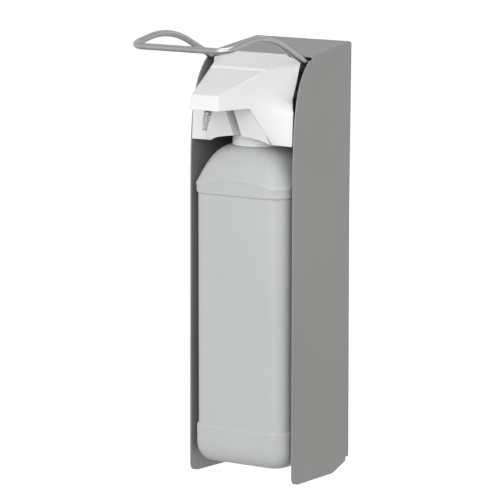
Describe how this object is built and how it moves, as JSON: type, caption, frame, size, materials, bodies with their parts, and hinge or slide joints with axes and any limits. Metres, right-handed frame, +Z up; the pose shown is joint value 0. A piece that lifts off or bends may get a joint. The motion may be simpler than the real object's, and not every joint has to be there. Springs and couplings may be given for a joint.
{
  "type": "wall mounted soap dispenser",
  "caption": "Wall mounted soap dispenser: folded sheet housing, bow lever worked by the elbow, piston pump under a white hood, and a translucent bottle hanging below it.",
  "frame": {"origin": "middle of the wall plate's rear face, which lies against the wall", "axes": "+X to the object's left-right axis (right seen from the front), +Y into the wall, +Z up; the front faces -Y"},
  "size_m": [0.0954, 0.1624, 0.3427],
  "materials": {
    "brushed_sheet": "satin folded sheet",
    "bare_steel": "satin steel wire, pins and screws",
    "white_plastic": "white moulded plastic, fine matt",
    "grey_plastic": "grey moulded plastic",
    "natural_plastic": "natural translucent plastic",
    "clear_plastic": "clear moulded plastic",
    "black_rubber": "black rubber"
  },
  "bodies": {
    "housing": {"housing_shell": "brushed_sheet", "wall_plate": "brushed_sheet", "lever_bracket": "bare_steel", "bracket_screw_left": "bare_steel", "bracket_screw_right": "bare_steel", "carrier_rail_left": "bare_steel", "carrier_rail_right": "bare_steel", "hood_screw_left": "bare_steel", "hood_screw_right": "bare_steel", "barrel_clip": "bare_steel", "pump_spring": "bare_steel", "pivot_bush_left": "white_plastic", "pivot_bush_right": "white_plastic", "pump_carrier": "white_plastic", "front_hood": "white_plastic", "pump_barrel": "white_plastic", "suction_seat": "white_plastic", "neck_cap": "natural_plastic", "dip_tube": "natural_plastic", "bottle": "natural_plastic", "rest_buffer_left": "black_rubber", "rest_buffer_right": "black_rubber", "neck_gasket": "black_rubber"},
    "lever": {"lever_bow": "bare_steel", "lever_rocker": "grey_plastic", "rocker_screw_left": "bare_steel", "rocker_screw_right": "bare_steel", "presser_roller": "white_plastic", "roller_pin": "bare_steel"},
    "pump_head": {"pump_head": "white_plastic", "piston_rod": "white_plastic", "piston": "grey_plastic", "piston_seal": "black_rubber", "spout_tube": "bare_steel", "spout_tip": "clear_plastic"},
    "suction_ball": {"suction_ball": "bare_steel"},
    "discharge_ball": {"discharge_ball": "bare_steel"}
  },
  "joints": [
    {"name": "lever_hinge", "type": "hinge", "parent": "housing", "child": "lever", "pos_m": [0, -0.016, 0.133], "axis": [1, 0, 0], "range_deg": [0, 26]},
    {"name": "pump_stroke", "type": "slide", "parent": "housing", "child": "pump_head", "axis": [0, 0, -1], "range_m": [0, 0.018], "stiffness_N_per_m": 600, "springref_m": -0.012, "deforming": ["pump_spring"]},
    {"name": "suction_lift", "type": "slide", "parent": "housing", "child": "suction_ball", "axis": [0, 0, 1], "range_m": [0, 0.0018]},
    {"name": "discharge_lift", "type": "slide", "parent": "pump_head", "child": "discharge_ball", "axis": [0, 0, 1], "range_m": [0, 0.0015]}
  ],
  "couplings": [
    {"joint": "pump_stroke", "follows": "lever_hinge", "m_per_rad": 0.039666}
  ]
}
